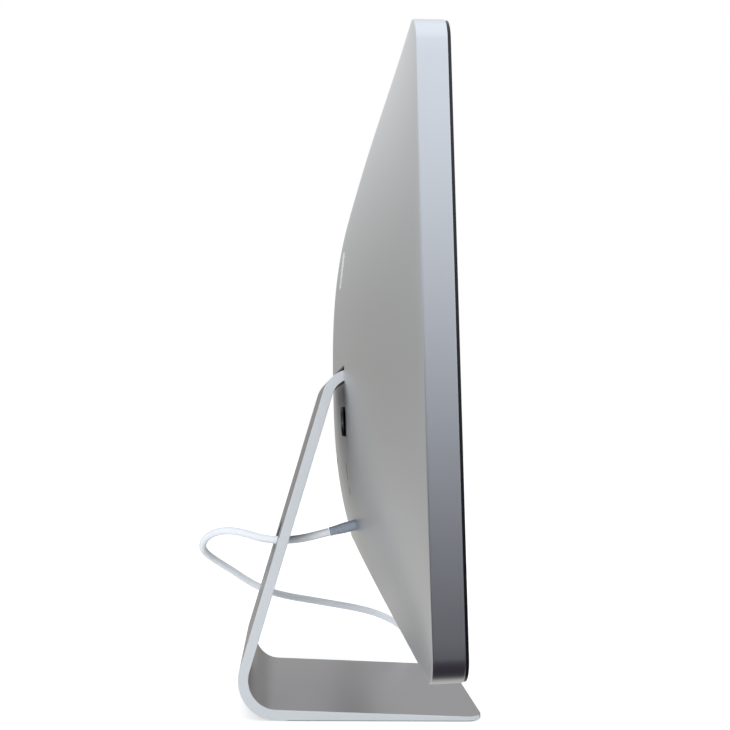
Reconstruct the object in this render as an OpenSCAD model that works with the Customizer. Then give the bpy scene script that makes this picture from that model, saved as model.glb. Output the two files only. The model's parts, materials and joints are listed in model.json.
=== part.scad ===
// All-in-one desktop computer: a slim aluminium case with a bulged back, carried by a
// plate stand bent from one sheet, with its mains lead tied up in a hank on the desk.
// +X is the right side as seen facing the screen, the screen faces -Y, +Z is up.
// The origin is under the middle of the stand's footprint, on the desk.

/* [Case] */
// Width of the case
case_w = 650; // [620:1:680]
// Height of the case, along the screen
case_h = 390; // [370:1:410]
// Radius of the case's corners, seen from the front
corner_r = 18; // [14:1:26]
// Depth of the flat band around the case's edge
band_d = 18.8; // [16:0.1:24]
// How far the back bulges out behind the band
bulge_d = 30.4; // [24:0.1:36]
// Thickness of the housing's wall
wall = 2.5; // [1.5:0.1:4]
// Thickness of the cover glass
glass_t = 1.8; // [1.2:0.1:3]

/* [Stand] */
// Width of the stand's plate
stand_w = 156; // [140:1:176]
// Thickness of the stand's plate
plate_t = 8.5; // [7:0.1:10]
// Depth of the whole stand, front to back
stand_d = 207; // [195:1:220]
// Thickness of the foot at its front edge
toe_t = 3.2; // [2.5:0.1:6]
// Outer radius of the bend at the heel
heel_r = 33; // [28:1:38]
// Thickness of the pad under the foot
pad_t = 0.8; // [0.5:0.1:1.5]
// Lean of the leg from the vertical, in degrees
leg_lean = 14.65; // [12:0.05:17]
// Radius of the cable hole through the leg
cable_hole_r = 28; // [20:1:32]

/* [Tilt] */
// How far the screen leans back as modelled, in degrees
rest_tilt = 3.16; // [0:0.01:8]
// Height of the tilt axis above the desk
axis_z = 288.5; // [286:0.1:291]
// Radius of the hinge barrel
barrel_r = 8.6; // [7.5:0.1:9]
// Radius of the hinge shaft
shaft_r = 4; // [3:0.1:5]

/* [Cord] */
// Diameter of the mains lead
cord_d = 7; // [6:0.1:8]

/* [Fan] */
// Radius of the fan's wheel
rotor_r = 31; // [26:1:33]
// Number of fan blades
blades = 17; // [11:1:23]

/* [Hidden] */

$fn = 64;
eps = 0.01;
gap = 0.3;

// Where the case's band ends at its back, at the case's lower edge
case_y = -16.1;
case_z = 100.6;
half_w = case_w / 2;
front_y = -band_d;
// Shape of the bulge: how square it is across and up, and how soft its foot is
bulge_across = 3.17;
bulge_up = 2.5;
bulge_soft = 0.82;
bulge_mid = -0.056;

function clamp01(v) = min(1, max(0, v));
function up_share(z) = 2 * z / case_h - 1;
function off_mid(v) = (v - bulge_mid) / (v > bulge_mid ? 1 - bulge_mid : 1 + bulge_mid);
function fade(share, power) =
    pow(clamp01(1 - pow(min(1, abs(share)), power)), bulge_soft);
// Height of the back's outer face behind the band, in the case's own frame
function back_y(x, z) =
    bulge_d * fade(x / half_w, bulge_across) * fade(off_mid(up_share(z)), bulge_up);

// The tilt axis, in the world and in the case's own frame
axis_y = 15.6;
axis_in_case = [
    (axis_y - case_y) * cos(rest_tilt) - (axis_z - case_z) * sin(rest_tilt),
    (axis_y - case_y) * sin(rest_tilt) + (axis_z - case_z) * cos(rest_tilt),
];

// Moves what is drawn in the case's own frame to where the case stands
module in_case() {
    translate([0, case_y, case_z]) rotate([-rest_tilt, 0, 0]) children();
}

// A box given by its two corners
module block(low, high) {
    translate(low) cube(high - low);
}

// A rounded plate in the case's frame, between two depths
module plate(w, h, r, y0, y1, z_mid = case_h / 2) {
    translate([0, y1, z_mid]) rotate([90, 0, 0]) linear_extrude(y1 - y0) rounded(w, h, r);
}

module rounded(w, h, r) {
    square([w - 2 * r, h], center = true);
    square([w, h - 2 * r], center = true);
    for (x = [-1, 1], y = [-1, 1]) translate([x * (w / 2 - r), y * (h / 2 - r)]) circle(r);
}

// A pin along Y from y0 to y1
module pin(x, z, r, y0, y1) {
    translate([x, y1, z]) rotate([90, 0, 0]) cylinder(r = r, h = y1 - y0);
}

// A slot through the back with round ends, seen from behind
module slot(x, z, w, h, y0, y1) {
    r = min(w, h) / 2;
    translate([x, y1, z]) rotate([90, 0, 0]) linear_extrude(y1 - y0) rounded(w, h, r - eps);
}

// ---- Stand -------------------------------------------------------------------------

heel_y = stand_d / 2 - heel_r;
heel_z = pad_t + heel_r;
toe_y = -stand_d / 2;
lean_out = [cos(leg_lean), sin(leg_lean)];
// The bend at the neck turns the leg level, into the case
neck_r = 26.7;
neck_top = 294;
neck_z = neck_top - neck_r;
heel_mid = [heel_y, heel_z];
leg_foot = heel_mid + heel_r * lean_out;
neck_y = leg_foot[0] - (neck_z - leg_foot[1]) * tan(leg_lean)
    - neck_r * (cos(leg_lean) + sin(leg_lean) * tan(leg_lean));
neck_mid = [neck_y, neck_z];
tongue_y = axis_y;
hole_z = 132;
hole_y = leg_foot[0] - (hole_z - leg_foot[1]) * tan(leg_lean);

function arc(mid, r, from, to, steps) =
    [for (i = [0:steps]) let (a = from + (to - from) * i / steps)
        mid + r * [cos(a), sin(a)]];

stand_outline = concat(
    [[toe_y, pad_t + 0.8], [toe_y + 0.8, pad_t]],
    arc(heel_mid, heel_r, -90, leg_lean, 16),
    arc(neck_mid, neck_r, leg_lean, 90, 12),
    [[tongue_y, neck_top], [tongue_y, neck_top - plate_t]],
    arc(neck_mid, neck_r - plate_t, 90, leg_lean, 12),
    arc(heel_mid, heel_r - plate_t, leg_lean, -90, 16),
    [[toe_y + 1, pad_t + toe_t], [toe_y, pad_t + toe_t - 1]]
);

module toe_corner_cut() {
    r = 14;
    translate([stand_w / 2 - r, toe_y + r, -1]) difference() {
        translate([0, -r - 1, 0]) cube([r + 1, r + 1, 20]);
        translate([0, 0, -1]) cylinder(r = r, h = 22);
    }
}

module stand_plate() {
    color("silver") difference() {
        translate([-stand_w / 2, 0, 0]) rotate([90, 0, 90])
            linear_extrude(stand_w) polygon(stand_outline);
        translate([0, hole_y, hole_z]) rotate([leg_lean - 90, 0, 0])
            cylinder(r = cable_hole_r, h = 60, center = true);
        for (side = [0, 1]) mirror([side, 0, 0]) toe_corner_cut();
        along_axis(-half_w, half_w, barrel_r + eps);
    }
}

module foot_pad() {
    inset = 1.5;
    depth = heel_y - toe_y - inset;
    color("dimgray") translate([0, toe_y + inset + depth / 2, 0])
        linear_extrude(pad_t) rounded(stand_w - 2 * inset, depth, 12);
}

// A round bar along the tilt axis
module along_axis(x0, x1, r) {
    translate([x0, axis_y, axis_z]) rotate([0, 90, 0]) cylinder(r = r, h = x1 - x0);
}

bearing_gap = 0.05;
module hinge_barrel() {
    color("gray") difference() {
        along_axis(-stand_w / 2, stand_w / 2, barrel_r);
        along_axis(-stand_w / 2 - 1, stand_w / 2 + 1, shaft_r + bearing_gap);
    }
}

bracket_x = stand_w / 2 + 6;
bracket_t = 4;
module hinge_shaft() {
    color("lightgray") along_axis(-bracket_x - bracket_t - 4, bracket_x + bracket_t + 4, shaft_r);
}

module friction_washers() {
    color("goldenrod") difference() {
        for (side = [-1, 1], i = [0:3])
            let (x = side * (stand_w / 2 + 0.9 + 1.3 * i))
                along_axis(x - 0.5, x + 0.5, 6.2);
        along_axis(-bracket_x, bracket_x, shaft_r);
    }
}

chassis_y = [-9.8, -8.3];
bracket_half_h = 24;
module hinge_brackets() {
    ay = axis_in_case[0];
    az = axis_in_case[1];
    color("slategray") difference() {
        in_case() for (side = [0, 1]) mirror([side, 0, 0]) {
            block([bracket_x, chassis_y[1] + 3, az - 9], [bracket_x + bracket_t, ay, az + 9]);
            translate([bracket_x, ay, az]) rotate([0, 90, 0]) cylinder(r = 6, h = bracket_t);
            block([bracket_x, chassis_y[1], az - bracket_half_h],
                  [bracket_x + 26, chassis_y[1] + 3, az + bracket_half_h]);
        }
        along_axis(-bracket_x - 5, bracket_x + 5, shaft_r);
        in_case() hinge_screw_places() pin(0, 0, 2.1, chassis_y[1] - 1, chassis_y[1] + 4);
    }
}

module hinge_screw_places() {
    for (side = [-1, 1], up = [-1, 1])
        translate([side * (bracket_x + 16), 0, axis_in_case[1] + up * 17]) children();
}

module hinge_screws() {
    color("darkgray") in_case() hinge_screw_places() {
        pin(0, 0, 2, chassis_y[0] + 0.2, chassis_y[1] + 3);
        pin(0, 0, 3.6, chassis_y[1] + 3, chassis_y[1] + 5);
    }
}

// ---- Case --------------------------------------------------------------------------

corner_steps = 5;
side_steps_x = 9;
side_steps_z = 5;

// Outline of the case seen from the front, round the middle, inset by m
function corner_arc(m, quarter) =
    let (r = corner_r - m, cx = half_w - corner_r, cz = case_h / 2 - corner_r,
         sx = quarter == 0 || quarter == 3 ? 1 : -1, sz = quarter < 2 ? 1 : -1)
    [for (i = [0:corner_steps]) let (a = 90 * (quarter + i / corner_steps))
        [sx * cx + r * cos(a), sz * cz + r * sin(a)]];
function along(a, b, n) = [for (i = [1:n - 1]) a + (b - a) * i / n];
function outline(m) =
    let (q = [for (k = [0:3]) corner_arc(m, k)], e = corner_steps)
    concat(q[0], along(q[0][e], q[1][0], side_steps_x), q[1],
           along(q[1][e], q[2][0], side_steps_z), q[2],
           along(q[2][e], q[3][0], side_steps_x), q[3],
           along(q[3][e], q[0][0], side_steps_z));

bulge_rings = 12;
// The bulge's rings shrink quickly at the edge, where it curves most
function ring_scale(i) = 1 - pow(i / bulge_rings, 1.5);
function ring_points(i, m) =
    [for (p = outline(m)) let (s = ring_scale(i), x = p[0] * s, z = p[1] * s + case_h / 2)
        [x, i == 0 ? -m : back_y(x, z) - m, z]];
function skin_points(m) =
    concat([for (p = outline(m)) [p[0], front_y, p[1] + case_h / 2]],
           [for (i = [0:bulge_rings - 1]) each ring_points(i, m)],
           [[0, back_y(0, case_h / 2) - m, case_h / 2]]);

around = len(outline(0));
skin_size = around * (bulge_rings + 1) + 1;

function skin_faces(first, outside) =
    concat(
        [for (k = [0:bulge_rings - 1], i = [0:around - 1])
            let (j = (i + 1) % around, a = first + k * around + i, b = first + k * around + j,
                 c = b + around, d = a + around)
            each outside ? [[a, c, b], [a, d, c]] : [[a, b, c], [a, c, d]]],
        [for (i = [0:around - 1])
            let (j = (i + 1) % around, base = first + bulge_rings * around,
                 tip = first + skin_size - 1)
            outside ? [base + i, tip, base + j] : [base + i, base + j, tip]]
    );
rim_faces = [for (i = [0:around - 1])
    let (j = (i + 1) % around)
    each [[i, j, skin_size + j], [i, skin_size + j, skin_size + i]]];

module housing_shell() {
    polyhedron(points = concat(skin_points(0), skin_points(wall)),
               faces = concat(skin_faces(0, true), skin_faces(skin_size, false), rim_faces));
}

post_places = [
    for (x = [-1, 1], z = [60, 195, 330]) [x * 311, z],
    for (x = [-1, 1], z = [12, 378]) [x * 150, z],
];

neck_slot_z = [182.7, 198.2];
vent_w = 74;
vent_h = 26;
vent_x = -49;
vent_z = 150;
usb_x = [for (i = [0:3]) 118 + 22 * i];
port_z = 107;
network_x = 212;
video_at = [-45, 106];
audio_at = [-50, 89.6];
inlet_at = [-40, 58.5];
button_at = [250, 44];
button_r = 6;
// The back slopes here, so the button leans and turns with it
button_lean = -9.1;
button_turn = -4.9;
badge_z = 293;
badge_r = 18;
badge_lean = 7.2;
intake_slots = 22;

module at_badge() {
    translate([0, back_y(0, badge_z), badge_z]) rotate([-90 + badge_lean, 0, 0]) children();
}

module at_button() {
    translate([button_at[0], back_y(button_at[0], button_at[1]), button_at[1]])
        rotate([-90 + button_lean, 0, button_turn]) children();
}

module rear_housing() {
    half_neck = stand_w / 2 + 1.5;
    color("silver") in_case() difference() {
        housing_shell();
        block([-half_neck, 8, neck_slot_z[0]], [half_neck, 40, neck_slot_z[1]]);
        slot(vent_x, vent_z, vent_w, vent_h, 10, 40);
        slot(video_at[0], video_at[1], 6.2, 15.6, 10, 40);
        pin(audio_at[0], audio_at[1], 3.8, 10, 40);
        for (x = usb_x) block([x - 7, 8, port_z - 3.4], [x + 7, 40, port_z + 3.4]);
        block([network_x - 8.3, 8, port_z - 7.1], [network_x + 8.3, 40, port_z + 7.1]);
        pin(inlet_at[0], inlet_at[1], 6, 8, 40);
        at_button() {
            translate([0, 0, -6]) cylinder(r = button_r + gap, h = 12);
            translate([0, 0, -0.8]) cylinder(r = button_r + 2, h = 6);
        }
        at_badge() translate([0, 0, -0.9]) cylinder(r = badge_r + 0.1, h = 4);
        for (i = [0:intake_slots - 1]) let (x = -189 + 18 * i)
            block([x - 5, -14.5, -1], [x + 5, -12.5, wall + 1]);
    }
}

// Threaded posts bonded inside the back, which the chassis screws to. Each ends where the
// sloping skin is nearest.
post_r = 4;
function post_end(b) =
    min([for (a = [0:45:315]) back_y(b[0] + post_r * cos(a), b[1] + post_r * sin(a))])
    - wall - 0.8;
module housing_posts() {
    color("lightgray") in_case() for (b = post_places) difference() {
        pin(b[0], b[1], post_r, chassis_y[1], post_end(b));
        pin(b[0], b[1], 1.5, chassis_y[1] - 1, post_end(b) - 1.5);
    }
}

module front_glass() {
    color("black") in_case() plate(case_w - 1, case_h - 1, corner_r - 0.5,
                                   front_y - glass_t, front_y);
}

panel_w = 606;
panel_h = 348;
stack_y = [front_y, -17.4, -15, -11.6, -10.6];

module glass_gasket() {
    color("dimgray") in_case() difference() {
        plate(case_w - 2 * wall - 1, case_h - 2 * wall - 1, corner_r - wall,
              stack_y[0], stack_y[1]);
        plate(598, 338, 2, stack_y[0] - 1, stack_y[1] + 1);
        block([-14, stack_y[0] - 1, 374], [14, stack_y[1] + 1, 386]);
    }
}

module lcd_panel() {
    color("darkslategray") in_case() plate(panel_w, panel_h, 2, stack_y[1], stack_y[2]);
}

module light_guide() {
    color("whitesmoke") in_case() plate(panel_w - 4, panel_h - 4, 2, stack_y[2], stack_y[3]);
}

module panel_tray() {
    color("gray") in_case() difference() {
        plate(panel_w, panel_h, 2, stack_y[2], stack_y[4]);
        plate(panel_w - 4 + 2 * eps, panel_h - 4 + 2 * eps, 2, stack_y[2] - 1, stack_y[3]);
    }
}

module chassis_plate() {
    color("lightsteelblue") in_case() difference() {
        plate(case_w - 2 * wall - 5, case_h - 2 * wall - 5, corner_r - wall - 2,
              chassis_y[0], chassis_y[1]);
        plate(80, 40, 6, -12, -6, 320);
        for (x = [-210, 210]) translate([x, 0, 0]) plate(120, 60, 8, -12, -6, 330);
        block([-20, -12, 372], [20, -6, 386]);
        block([-12, -12, 71], [16, -6, 76]);
        hinge_screw_places() pin(0, 0, 2.1, -12, -6);
        for (b = post_places) pin(b[0], b[1], 1.6, -12, -6);
    }
}

module chassis_screws() {
    color("darkgray") in_case() for (b = post_places) {
        pin(b[0], b[1], 1.45, chassis_y[0], post_end(b) - 2);
        pin(b[0], b[1], 3, chassis_y[0] - 1.4, chassis_y[0]);
    }
}

// ---- Electronics -------------------------------------------------------------------

board_y = [-5, -3.4];
board_low = [-75, 82];
board_high = [165, 165];
board_holes = [for (x = [-70, 61, 160], z = [87, 160]) [x, z]];

module mainboard() {
    color("darkgreen") in_case() difference() {
        union() {
            block([board_low[0], board_y[0], board_low[1]],
                  [board_high[0], board_y[1], board_high[1]]);
            // Processor package, chipset and memory socket
            block([10, board_y[1], 126], [50, board_y[1] + 2, 162]);
            block([-30, board_y[1], 96], [-10, board_y[1] + 1.6, 116]);
            block([72, board_y[1], 128], [148, board_y[1] + 4, 134]);
        }
        for (b = board_holes) pin(b[0], b[1], 1.6, -8, 0);
    }
}

module board_screws() {
    color("darkgray") in_case() for (b = board_holes) {
        pin(b[0], b[1], 1.5, board_y[0], board_y[1]);
        pin(b[0], b[1], 3, board_y[1], board_y[1] + 1.6);
        pin(b[0], b[1], 2.6, chassis_y[1], board_y[0]);
    }
}

module cpu_heatsink() {
    y0 = board_y[1] + 2;
    color("peru") in_case() difference() {
        union() {
            block([4, y0, 126], [56, y0 + 2.5, 170]);
            for (i = [0:7]) block([6 + 6.4 * i, y0 + 2.5, 128], [7.4 + 6.4 * i, y0 + 8, 168]);
        }
        block([3, y0 + 2.5, 144], [60, y0 + 9, 152]);
    }
}

pipe_y = board_y[1] + 6.5;
module heat_pipe() {
    color("sienna") in_case() {
        translate([-152, pipe_y, 148]) rotate([0, 90, 0]) cylinder(r = 2, h = 206);
    }
}

module fin_stack() {
    color("lightgray") in_case() difference() {
        for (i = [0:11]) block([-150 + 5.5 * i, -6, 143], [-149 + 5.5 * i, 9, 162]);
        translate([-160, pipe_y, 148]) rotate([0, 90, 0]) cylinder(r = 2.05, h = 100);
    }
    color("lightgray") in_case() block([-150, -7, 143], [-88.5, -6, 162]);
}

fan_at = [-122, 101];
fan_y = [-7, 8];
module fan_housing() {
    wheel = rotor_r + 4;
    color("dimgray") in_case() difference() {
        union() {
            pin(fan_at[0], fan_at[1], wheel + 2, fan_y[0], fan_y[1]);
            block([fan_at[0] - wheel - 2, fan_y[0], fan_at[1]],
                  [fan_at[0] + wheel + 2, fan_y[1], 141]);
        }
        difference() {
            union() {
                pin(fan_at[0], fan_at[1], wheel, fan_y[0] + 1.5, fan_y[1] - 1.5);
                block([fan_at[0] - wheel, fan_y[0] + 1.5, fan_at[1]],
                      [fan_at[0] + wheel, fan_y[1] - 1.5, 142]);
            }
            pin(fan_at[0], fan_at[1], 2.5, fan_y[0], fan_y[1] - 4);
        }
        pin(fan_at[0], fan_at[1], rotor_r - 9, fan_y[1] - 2, fan_y[1] + 1);
    }
}

module fan_rotor() {
    y0 = fan_y[0] + 2.5;
    y1 = fan_y[1] - 2.5;
    color("black") in_case() difference() {
        union() {
            pin(fan_at[0], fan_at[1], 14, y0, y1);
            pin(fan_at[0], fan_at[1], rotor_r - 0.5, y0, y0 + 1);
            for (i = [0:blades - 1])
                translate([fan_at[0], 0, fan_at[1]]) rotate([0, 360 * i / blades, 0])
                    translate([12, y0 + 0.5, 0]) rotate([0, 12, 0])
                        cube([rotor_r - 13, y1 - y0 - 1, 1]);
        }
        pin(fan_at[0], fan_at[1], 2.55, y0 - 1, fan_y[1] - 3.9);
    }
}

module memory_modules() {
    color("seagreen") in_case() for (y = [board_y[1] + 1.6, board_y[1] + 5.6]) {
        block([76, y, 134], [143.6, y + 1.2, 164]);
        for (i = [0:3]) block([80 + 16 * i, y + 1.2, 140], [92 + 16 * i, y + 2.2, 156]);
    }
}

module wireless_card() {
    color("royalblue") in_case() block([-70, board_y[1], 120], [-48, board_y[1] + 2.4, 150]);
}

module storage_drive() {
    color("gray") in_case() block([152, -6.7, 231], [252, 0.3, 301]);
}

module drive_bracket() {
    color("lightgray") in_case() {
        block([149, chassis_y[1], 226], [255, -6.7, 306]);
        for (x = [149, 252.6]) block([x, -6.7, 231], [x + 2.4, -1, 301]);
    }
}

riser_y = [5, 6.6];
module port_board() {
    color("green") in_case() {
        block([-64, riser_y[0], 86], [232, riser_y[1], 122]);
        for (x = [-58, 90]) pin(x, 90, 2, board_y[1], riser_y[0]);
        pin(226, 90, 2, chassis_y[1], riser_y[0]);
    }
}

// A port's metal shell, open to the back
module port_shell(x, z, w, h, lip, depth) {
    y1 = back_y(x, z) - lip;
    difference() {
        block([x - w / 2, riser_y[1], z - h / 2], [x + w / 2, y1, z + h / 2]);
        block([x - w / 2 + 0.6, y1 - depth, z - h / 2 + 0.6],
              [x + w / 2 - 0.6, y1 + 1, z + h / 2 - 0.6]);
    }
}

module usb_ports() {
    color("lightgray") in_case() for (x = usb_x) {
        port_shell(x, port_z, 13.6, 6.4, 2.2, 10);
        // The tongue lies at one side, so a plug fits beside it
        block([x - 5.5, back_y(x, port_z) - 12.5, port_z + 1.7],
              [x + 5.5, back_y(x, port_z) - 4, port_z + 2.6]);
    }
}

module network_port() {
    color("lightgray") in_case() port_shell(network_x, port_z, 16, 13.6, 2.4, 11);
}

module video_port() {
    color("dimgray") in_case() port_shell(video_at[0], video_at[1], 6, 15.4, 3.2, 9);
}

module audio_jack() {
    y1 = back_y(audio_at[0], audio_at[1]) - 1.6;
    color("black") in_case() difference() {
        pin(audio_at[0], audio_at[1], 3.6, riser_y[1], y1);
        pin(audio_at[0], audio_at[1], 1.8, y1 - 12, y1 + 1);
    }
}

psu_low = [-262, 72];
psu_high = [-176, 200];
module psu_board() {
    color("tan") in_case() block([psu_low[0] + 2, -6, psu_low[1] + 2],
                                 [psu_high[0] - 2, -4.4, psu_high[1] - 2]);
}

module psu_transformer() {
    color("darkorange") in_case() {
        block([-235, -4.4, 110], [-205, 4, 142]);
        block([-228, 4, 116], [-212, 6, 136]);
    }
}

module psu_capacitors() {
    color("steelblue") in_case() for (i = [0:2])
        translate([-228 + 18 * i, 1.6, 156]) cylinder(r = 6, h = 30);
}

module psu_cover() {
    y1 = 8.6;
    color("lightgray") in_case() difference() {
        block([psu_low[0], chassis_y[1], psu_low[1]], [psu_high[0], y1, psu_high[1]]);
        block([psu_low[0] + 0.8, chassis_y[1] - 1, psu_low[1] + 0.8],
              [psu_high[0] - 0.8, y1 - 0.8, psu_high[1] - 0.8]);
    }
}

module power_inlet() {
    x = inlet_at[0];
    z = inlet_at[1];
    color("black") in_case() difference() {
        block([x - 12, chassis_y[1], z - 12], [x + 12, 11, z + 12]);
        pin(x, z, 4.5, 1, 12);
    }
}

lead_z = 58;
module inlet_lead() {
    color("white") in_case() {
        translate([inlet_at[0] - 12, -2, lead_z]) rotate([0, -90, 0]) cylinder(r = 2.5, h = 160);
        translate([inlet_at[0] - 172, -2, lead_z]) sphere(r = 2.5);
        translate([inlet_at[0] - 172, -2, lead_z]) cylinder(r = 2.5, h = psu_low[1] - lead_z);
    }
}

module display_cable() {
    color("khaki") in_case() {
        block([-10, board_y[1], 74], [14, board_y[1] + 0.5, 88]);
        block([-10, chassis_y[0] - 0.6, 73], [14, board_y[1] + 0.5, 73.5]);
        block([-10, board_y[1], 73.5], [14, board_y[1] + 0.5, 74]);
    }
}

speaker_x = 205;
module speaker_boxes() {
    color("black") in_case() for (side = [0, 1]) mirror([side, 0, 0]) difference() {
        block([speaker_x - 90, chassis_y[1], 18], [speaker_x + 27, -2, 46]);
        pin(speaker_x, 32, 11, -6.5, 0);
    }
}

module speaker_cones() {
    color("dimgray") in_case() for (x = [-speaker_x, speaker_x]) {
        pin(x, 32, 10.8, -6.5, -4.5);
        pin(x, 32, 5, -4.5, -2.6);
    }
}

module antennas() {
    color("goldenrod") in_case() for (x = [-150, 150])
        block([x - 24, chassis_y[1], 366], [x + 24, chassis_y[1] + 1, 372]);
}

module camera_board() {
    color("darkgreen") in_case() block([-13, -16.4, 375], [13, -15.6, 385]);
}

module camera_lens() {
    color("black") in_case() difference() {
        pin(0, 380, 3.2, front_y, -16.4);
        pin(0, 380, 1.4, front_y - 1, front_y + 1.2);
    }
}

// A slatted grille just inside the vent
grille_h = 30;
slat_h = 20;
slat_gap = 3.2;
module vent_grilles() {
    color("black") in_case() difference() {
        block([vent_x - 40, 24.2, vent_z - grille_h / 2],
              [vent_x + 40, 25.8, vent_z + grille_h / 2]);
        for (i = [-7:7]) let (x = vent_x + 4.8 * i)
            block([x - slat_gap / 2, 23, vent_z - slat_h / 2],
                  [x + slat_gap / 2, 27, vent_z + slat_h / 2]);
    }
}

module badge_disc() {
    color("gainsboro") in_case() at_badge() translate([0, 0, -0.9])
        cylinder(r = badge_r, h = 1.2);
}

module power_button() {
    color("lightgray") in_case() at_button() {
        translate([0, 0, -4.2]) cylinder(r = button_r, h = 4.2);
        translate([0, 0, -5.4]) cylinder(r = button_r + 1.6, h = 1.2);
        translate([0, 0, -8.4]) cylinder(r = 1.5, h = 3);
    }
}

module button_spring() {
    color("lightgray") in_case() at_button() translate([0, 0, -11]) difference() {
        cylinder(r = 3.2, h = 5.6);
        translate([0, 0, -1]) cylinder(r = 2.4, h = 8);
    }
}

module button_switch() {
    color("darkgreen") in_case() {
        at_button() {
            translate([-9, -20, -13.6]) cube([18, 28, 1.6]);
            translate([0, 0, -12]) cylinder(r = 4, h = 1);
            translate([0, 0, -11]) cylinder(r = 1.8, h = 1);
        }
        pin(button_at[0], 60, 3, chassis_y[1], -2);
    }
}

// ---- Mains lead --------------------------------------------------------------------

relief_from = [-40, 2.4, 159];
relief_out = 16;

// The lead from the case, through the leg's hole, round behind the leg and forward under
// the case to the hank
cord_route = [
    [-40, 30.8, 150.9], [-39.8, 34, 149.9], [-36.4, 43, 146.9], [-27, 57, 142.4],
    [-16, 74, 139.4], [-6, 91, 139.5], [4, 108, 142.5], [14, 123, 143], [26, 137, 139],
    [38, 146.5, 131], [52, 149.5, 121], [66, 145, 112], [78, 135, 103], [88, 120, 92],
    [96, 103, 80], [101, 85, 71], [105, 64, 65], [108, 42, 61], [112, 18, 56.5],
    [116, -8, 51.5], [122, -32, 44.5], [134, -53, 33], [152, -68, 20], [174, -77.5, 8.5],
    [200, -80, 3.6],
];
// From the hank to the plug
tail_route = [
    [200, -136, 10.6], [191, -133.5, 10.6], [182, -128, 10.4], [174, -121, 10.2],
    [167, -113, 10], [159, -106.5, 10], [151, -102.5, 10], [142, -100.5, 10],
];
route_steps = 2;
tube_sides = 8;

// Smooth curve through a route's points
function route_point(r, i) = r[min(max(i, 0), len(r) - 1)];
function curve_at(r, i, t) =
    let (a = route_point(r, i - 1), b = route_point(r, i), c = route_point(r, i + 1),
         d = route_point(r, i + 2))
    0.5 * (2 * b + (c - a) * t + (2 * a - 5 * b + 4 * c - d) * t * t
        + (3 * b - a - 3 * c + d) * t * t * t);
function curve_points(r) =
    concat([for (i = [0:len(r) - 2], s = [0:route_steps - 1]) curve_at(r, i, s / route_steps)],
           [r[len(r) - 1]]);
function unit(v) = v / norm(v);
function tube_ring(c, i, r) =
    let (n = len(c), dir = unit(c[min(i + 1, n - 1)] - c[max(i - 1, 0)]),
         side = unit(cross([0, 0, 1], dir)), top = cross(dir, side))
    [for (k = [0:tube_sides - 1]) let (a = 360 * k / tube_sides)
        c[i] + r * (cos(a) * side + sin(a) * top)];

module tube(route, r) {
    c = curve_points(route);
    n = len(c);
    polyhedron(
        points = [for (i = [0:n - 1]) each tube_ring(c, i, r)],
        faces = concat(
            [[for (k = [0:tube_sides - 1]) k]],
            [for (i = [0:n - 2], k = [0:tube_sides - 1])
                let (l = (k + 1) % tube_sides, a = i * tube_sides)
                each [[a + k, a + tube_sides + k, a + tube_sides + l],
                      [a + k, a + tube_sides + l, a + l]]],
            [[for (k = [tube_sides - 1:-1:0]) (n - 1) * tube_sides + k]]
        )
    );
}

module strain_relief() {
    color("slategray") translate(relief_from) rotate([-90 - relief_out, 0, 0]) {
        translate([0, 0, 1]) cylinder(r = 4.6, h = 19);
        translate([0, 0, 20]) cylinder(r1 = 4.6, r2 = cord_d / 2 + 0.2, h = 9);
    }
}

module power_cord() {
    color("white") tube(cord_route, cord_d / 2);
}

module plug_lead() {
    color("white") tube(tail_route, cord_d / 2);
}

hank_mid = [248, -108];
hank_run = 84;
hank_r = 31.6;
hank_h = 14.4;
// The turns cross over each other at one end
hump_h = 17.4;
waist_w = 40;
module cord_hank() {
    color("white") translate([hank_mid[0], hank_mid[1], 0]) {
        linear_extrude(hank_h) {
            for (x = [-1, 1]) translate([x * hank_run / 2, 0]) circle(hank_r);
            square([hank_run, waist_w], center = true);
        }
        translate([-hank_run / 2, 0, 0]) cylinder(r = hank_r, h = hump_h);
    }
}

tie_w = 14;
tie_t = 1.6;
module cord_tie() {
    color("black") translate([hank_mid[0], hank_mid[1], 0]) difference() {
        translate([-tie_w / 2, -waist_w / 2 - tie_t, 0])
            cube([tie_w, waist_w + 2 * tie_t, hank_h + tie_t]);
        translate([-tie_w, -waist_w / 2, -1]) cube([2 * tie_w, waist_w, hank_h + 1]);
    }
}

plug_x = 142;
plug_l = 36;
plug_at = [-100.5, 10];
module plug_body() {
    color("white") {
        translate([plug_x - plug_l, plug_at[0] - 12, 0.4]) cube([plug_l - 12, 24, 19.2]);
        translate([plug_x - 12, plug_at[0], plug_at[1]]) rotate([0, 90, 0])
            cylinder(r1 = 9, r2 = cord_d / 2 + 0.6, h = 12);
    }
}

module plug_pins() {
    color("gold") translate([plug_x - plug_l - 16, plug_at[0], plug_at[1]])
        for (y = [-6.35, 6.35]) translate([0, y - 0.8, -3.2]) cube([16, 1.6, 6.4]);
}

stand_plate();
foot_pad();
hinge_barrel();
hinge_shaft();
hinge_brackets();
friction_washers();
hinge_screws();
rear_housing();
housing_posts();
front_glass();
glass_gasket();
lcd_panel();
light_guide();
panel_tray();
chassis_plate();
chassis_screws();
mainboard();
board_screws();
cpu_heatsink();
heat_pipe();
fin_stack();
fan_housing();
fan_rotor();
memory_modules();
wireless_card();
storage_drive();
drive_bracket();
port_board();
usb_ports();
network_port();
video_port();
audio_jack();
psu_board();
psu_transformer();
psu_capacitors();
psu_cover();
power_inlet();
inlet_lead();
display_cable();
speaker_boxes();
speaker_cones();
antennas();
camera_board();
camera_lens();
vent_grilles();
badge_disc();
power_button();
button_spring();
button_switch();
strain_relief();
power_cord();
cord_hank();
cord_tie();
plug_lead();
plug_body();
plug_pins();
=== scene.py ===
import json
import math

import bmesh
import bpy
import numpy as np
from mathutils import Matrix, Vector
from mathutils.bvhtree import BVHTree
from mathutils.interpolate import poly_3d_calc


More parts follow.
